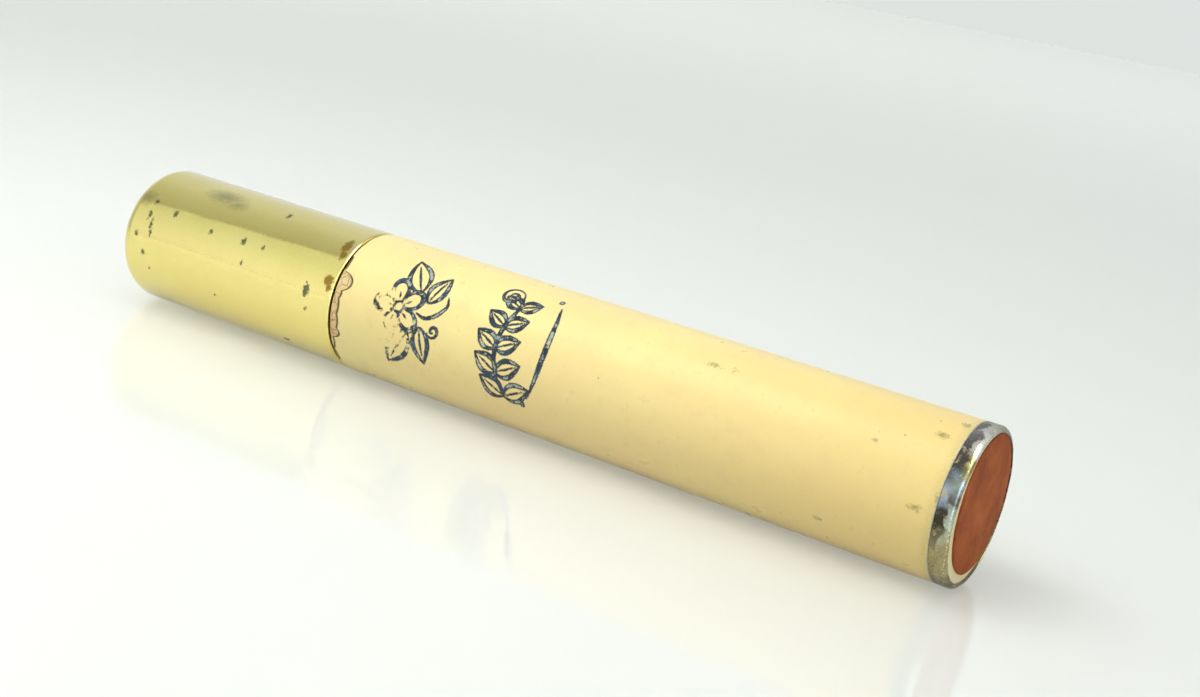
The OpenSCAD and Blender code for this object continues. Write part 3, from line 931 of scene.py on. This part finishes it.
# %% Coated red card and the pale card below
def card_material(name, light, dark, rub, roughness, gloss):
    material, tree = new_material(name)
    here = add(tree, "ShaderNodeTexCoord", out="Object")
    cloud, fibre = (add(tree, "ShaderNodeTexNoise", {
        "Vector": here, "Scale": per_mm(size), "Detail": 5.0, "Roughness": break_up})
        for size, break_up in ((3.2, 0.62), (0.3, 0.7)))
    colour, _ = layer(tree, light, cloud, 0.35, 0.68, 1.0, dark)
    colour, _ = layer(tree, colour, fibre, 0.6, 0.72, 0.6, rub)
    rough = add(tree, "ShaderNodeMapRange", {
        0: fibre, 1: 0.3, 2: 0.7, 3: roughness - 0.06, 4: roughness + 0.1})
    finish_material(tree, {
        "Base Color": colour, "Roughness": rough, "IOR": 1.48, "Specular IOR Level": gloss,
        "Normal": bumped(tree, (fibre, 0.35, 0.03))})
    return material


red_card = card_material("coated_red_card", "B4602F", "8E451F", "6A3018", 0.55, 0.08)
pale_card = card_material("pale_card", "F3E9C4", "EBDDAE", "CDBD8A", 0.7, 0.3)

disc_r = (disc_high.z - disc_low.z) / 2
disc_y = (disc_high.y + disc_low.y) / 2
disc_z = (disc_high.z + disc_low.z) / 2
disc_points = outline([
    (disc_high.x, 0.0, 0, 0.12 * MM),
    (disc_high.x, disc_r, 0.05 * MM, 0.04 * MM),
    (disc_low.x, disc_r, 0.03 * MM, 0.5 * MM),
    (disc_low.x, 0.0, 0, None)], 0.15 * MM, ends_on_axis=True)
red_disc = turn_piece("red_disc", disc_points, red_card, columns=240, dent=0.006 * MM,
                      dent_size=1.6 * MM, seed=2.0)
# Glued a little off centre, a little narrow, and with an edge that the punch left slightly wavy
disc_narrowing = 0.935
disc_shift = 0.34 * MM
disc_x, disc_angle, disc_radius = skin_places(red_disc.data)
wave = 1 - 0.004 * (1 + np.sin(np.radians(disc_angle * 3 + 40)) + 0.6 * np.sin(np.radians(disc_angle * 11)))
moved = positions(red_disc.data)
moved[:, 1] = moved[:, 1] * wave * disc_narrowing + disc_y + disc_shift
moved[:, 2] = (moved[:, 2] - axis_z) * wave + disc_z
move(red_disc.data, moved)
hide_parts("shade_disc")
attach(red_disc, "barrel")

# %% [markdown]
# ## The stick
#
# The stick is pigment in wax, moulded round and then cut at the tip. Use has softened the cut's edge. It is
# turned like the rest, and then the rows near the tip are slid back along the slope of the cut.

# %% Pigmented wax
def wax_material():
    material, tree = new_material("moulded_pigment_wax")
    here = add(tree, "ShaderNodeTexCoord", out="Object")
    stretched = add(tree, "ShaderNodeMapping", {"Vector": here, "Scale": (0.06, 1.0, 1.0)})
    bloom, drag = (add(tree, "ShaderNodeTexNoise", {
        "Vector": where, "Scale": per_mm(size), "Detail": detail, "Roughness": break_up})
        for where, size, detail, break_up in ((here, 2.4, 5.0, 0.6), (stretched, 0.4, 3.0, 0.5)))
    pits = add(tree, "ShaderNodeTexVoronoi", {"Vector": here, "Scale": per_mm(1.1)}, out="Distance")
    pits = add(tree, "ShaderNodeMapRange", {0: pits, 1: 0.0, 2: 0.12})
    colour, _ = layer(tree, "9E3A22", bloom, 0.35, 0.7, 1.0, "B4563A")
    rough = add(tree, "ShaderNodeMapRange", {0: bloom, 1: 0.3, 2: 0.7, 3: 0.3, 4: 0.48})
    finish_material(tree, {
        "Base Color": colour, "Roughness": rough, "IOR": 1.44,
        "Normal": bumped(tree, (pits, 0.4, 0.04), (drag, 0.25, 0.03)), "Subsurface Weight": 0.12,
        "Subsurface Radius": (0.6 * MM, 0.2 * MM, 0.1 * MM), "Subsurface Scale": 1.0})
    return material


wax = wax_material()

# %% Moulded stick with its cut tip
stick_r = (stick_high.z - stick_low.z) / 2
stick_points = outline([
    (stick_high.x, 0.0, 0, 0.9 * MM),
    (stick_high.x, stick_r, 0.2 * MM, 1.0 * MM),
    (stick_low.x + 9 * MM, stick_r - 0.01 * MM, 0, 0.25 * MM),
    (stick_low.x, stick_r - 0.01 * MM, 0.7 * MM, 0.25 * MM),
    (stick_low.x, 0.0, 0, None)], 0.2 * MM, ends_on_axis=True)
moulded_stick = turn_piece("moulded_stick", stick_points, wax, columns=160, dent=0.008 * MM,
                           dent_size=4 * MM, seed=6.0)
tip_slope = math.radians(38)
high_angle = math.radians(45)   # where round the stick its high side is
cut_start = 0.6 * MM            # how far in from the high side the cut begins
cut_fade = 1.5 * MM             # how far beyond the cut the rows are still slid back a little
moved = positions(moulded_stick.data)
# The cut faces away from the front when the stick is down. A turn and a half later, when it is up, it faces
# the front.
high_side = np.array([-math.sin(high_angle), math.cos(high_angle)])
across = moved[:, 1] * high_side[0] + (moved[:, 2] - axis_z) * high_side[1]
fall = np.clip(stick_r - cut_start - across, 0, None) * math.tan(tip_slope)
full = 2 * stick_r * math.tan(tip_slope) + cut_fade
share = np.clip(1 - (moved[:, 0] - stick_low.x) / full, 0, 1)
moved[:, 0] += fall * share
move(moulded_stick.data, moved)
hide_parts("colour_stick")
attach(moulded_stick, "carriage")
print("stick from x %.1f to %.1f mm" % (moved[:, 0].min() / MM, moved[:, 0].max() / MM))

# %% [markdown]
# ## The working parts
#
# The tubes, rings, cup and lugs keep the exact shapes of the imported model. They only need finishes: drawn
# brass that never saw a polishing wheel, bright spring wire and pressed felt.

# %% Spring steel and felt
def wire_material():
    material, tree = new_material("bright_spring_wire")
    here = add(tree, "ShaderNodeTexCoord", out="Object")
    marks = add(tree, "ShaderNodeTexNoise", {
        "Vector": here, "Scale": per_mm(0.25), "Detail": 4.0, "Roughness": 0.7})
    colour = add(tree, "ShaderNodeMix", {0: marks, 6: "8C9096", 7: "B4B7BA"}, out=2, data_type="RGBA")
    rough = add(tree, "ShaderNodeMapRange", {0: marks, 1: 0.3, 2: 0.7, 3: 0.2, 4: 0.36})
    finish_material(tree, {
        "Base Color": colour, "Metallic": 1.0, "Roughness": rough,
        "Normal": bumped(tree, (marks, 0.2, 0.01))})
    return material


def felt_material():
    material, tree = new_material("pressed_wool_felt")
    here = add(tree, "ShaderNodeTexCoord", out="Object")
    fibre = add(tree, "ShaderNodeTexNoise", {
        "Vector": here, "Scale": per_mm(0.12), "Detail": 6.0, "Roughness": 0.8, "Distortion": 1.2})
    colour = add(tree, "ShaderNodeMix", {0: fibre, 6: "6E5F4C", 7: "A08D72"}, out=2, data_type="RGBA")
    finish_material(tree, {
        "Base Color": colour, "Roughness": 0.92, "Normal": bumped(tree, (fibre, 0.8, 0.05)),
        "Sheen Weight": 0.4})
    return material


FINISHES = {
    "collar": collar_brass, "cap_liner": drawn_brass, "mouth_ring": drawn_brass, "guide_tube": drawn_brass,
    "spiral_sleeve": drawn_brass, "retainer_ring": drawn_brass, "carriage_cup": drawn_brass,
    "cup_lugs": drawn_brass, "brake_spring": wire_material(), "top_washer": felt_material(),
    "backing_card": pale_card}
for node, material in FINISHES.items():
    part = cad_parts[node]
    for slot in part.material_slots:
        slot.material = material
print("finished packed parts:", sorted(FINISHES))
